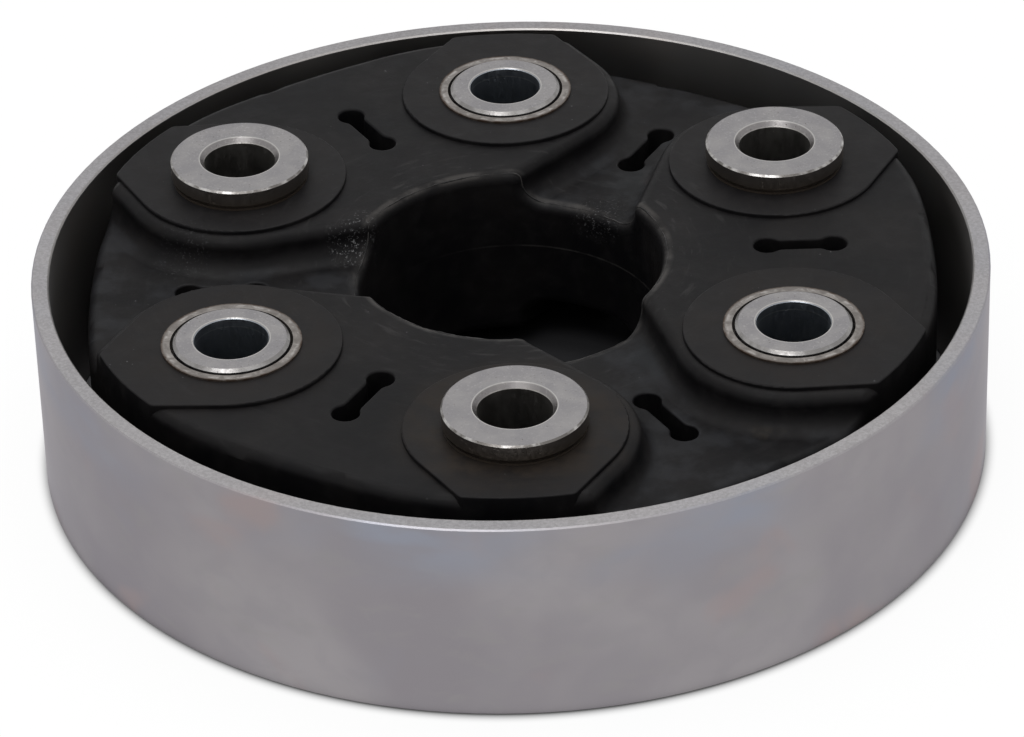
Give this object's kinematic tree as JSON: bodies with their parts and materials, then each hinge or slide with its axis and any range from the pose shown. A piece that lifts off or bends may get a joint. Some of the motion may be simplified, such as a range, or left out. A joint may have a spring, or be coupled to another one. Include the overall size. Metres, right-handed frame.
{
  "type": "disc coupling",
  "caption": "Flexible disc coupling for a propeller shaft: flanged steel bolt bushes in a scalloped moulded rubber disc, held inside a plain steel ring.",
  "frame": {"origin": "on the coupling's axis, half way between the two planes of flange faces", "axes": "+Z along the axis, out of the side where the steel ring is set lower than the flange faces; +X through the middle of a high saddle between two bushes"},
  "size_m": [0.159, 0.159, 0.0406],
  "materials": {
    "ring_steel": "dull zinc plate with a faint cloudy iridescence",
    "body_rubber": "black moulded rubber, satin, with pale dust specks",
    "bush_steel": "turned and zinc plated, finely pitted faces",
    "collar_steel": "dull steel with a brown rust tint at its open rim",
    "cord_textile": "rubber-bonded polyester cord"
  },
  "bodies": {
    "root": {"outer_ring": "ring_steel", "rubber_body": "body_rubber", "bush_1": "bush_steel", "bush_2": "bush_steel", "bush_3": "bush_steel", "bush_4": "bush_steel", "bush_5": "bush_steel", "bush_6": "bush_steel", "collar_1_top": "collar_steel", "collar_1_bottom": "collar_steel", "collar_2_top": "collar_steel", "collar_2_bottom": "collar_steel", "collar_3_top": "collar_steel", "collar_3_bottom": "collar_steel", "collar_4_top": "collar_steel", "collar_4_bottom": "collar_steel", "collar_5_top": "collar_steel", "collar_5_bottom": "collar_steel", "collar_6_top": "collar_steel", "collar_6_bottom": "collar_steel", "cord_single_1_top": "cord_textile", "cord_single_1_bottom": "cord_textile", "cord_single_2_top": "cord_textile", "cord_single_2_bottom": "cord_textile", "cord_single_3_top": "cord_textile", "cord_single_3_bottom": "cord_textile", "cord_double_1": "cord_textile", "cord_double_2": "cord_textile", "cord_double_3": "cord_textile"}
  },
  "joints": []
}
